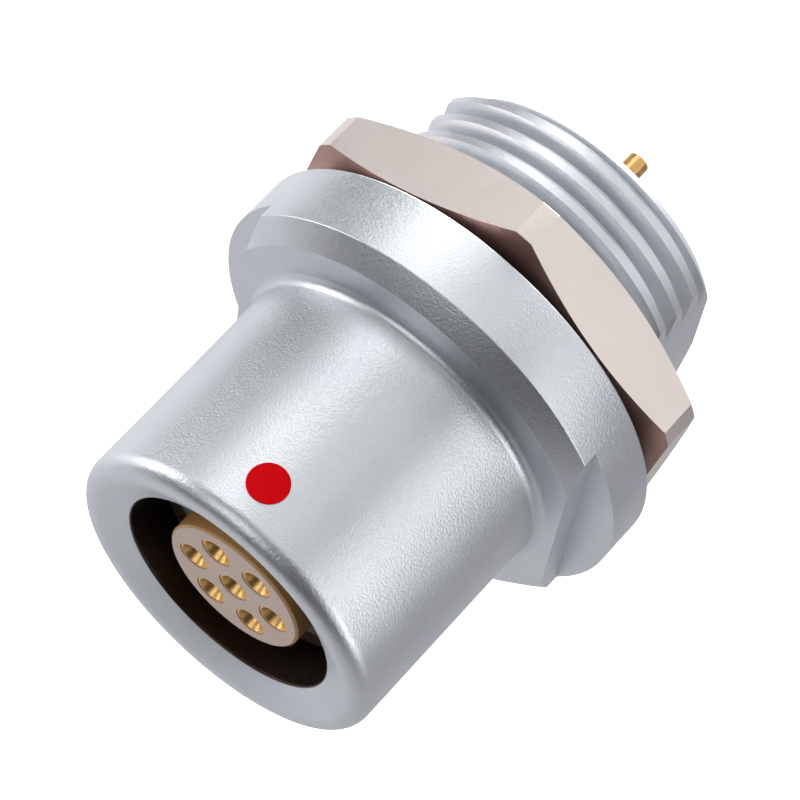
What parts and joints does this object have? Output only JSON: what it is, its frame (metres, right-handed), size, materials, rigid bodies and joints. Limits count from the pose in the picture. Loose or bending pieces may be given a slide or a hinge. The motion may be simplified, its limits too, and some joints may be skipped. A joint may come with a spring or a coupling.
{
  "type": "push-pull circular connector socket",
  "caption": "Round panel socket with a rounded barrel, spanner-flatted flange, double-flat threaded tube, hexagonal lock nut, red key mark and gold contacts set in an insulating insert.",
  "frame": {"origin": "on the connector's axis, at the flange's rear face that lies against the panel", "axes": "+Y along the axis from the mouth towards the solder cups, +Z through the red key mark, X across the spanner flats"},
  "size_m": [0.0184, 0.0249, 0.019],
  "materials": {
    "satin_chrome": "satin chrome over brass with a fine blasted grain",
    "brushed_nickel": "nickel-plated brass, fine turned grain",
    "plated_brass": "nickel-plated brass",
    "plated_spring": "nickel-plated spring bronze",
    "insert_plastic": "moulded beige-brown engineering plastic, satin",
    "gold_plate": "gold-plated brass, polished",
    "red_enamel": "red enamel fill",
    "seal_rubber": "black seal rubber"
  },
  "bodies": {
    "socket": {"shell": "satin_chrome", "panel_seal": "seal_rubber", "alignment_dot": "red_enamel", "earthing_crown": "plated_spring", "front_insulator": "insert_plastic", "rear_insulator": "insert_plastic", "retaining_ring": "plated_brass", "contact_1": "gold_plate", "contact_2": "gold_plate", "contact_3": "gold_plate", "contact_4": "gold_plate", "contact_5": "gold_plate", "contact_6": "gold_plate", "contact_7": "gold_plate", "contact_clip_1": "plated_spring", "contact_clip_2": "plated_spring", "contact_clip_3": "plated_spring", "contact_clip_4": "plated_spring", "contact_clip_5": "plated_spring", "contact_clip_6": "plated_spring", "contact_clip_7": "plated_spring"},
    "nut": {"lock_nut": "brushed_nickel"}
  },
  "joints": [
    {"name": "nut_travel", "type": "slide", "parent": "socket", "child": "nut", "axis": [0, 1, 0], "range_m": [-0.0003, 0.00433]}
  ]
}
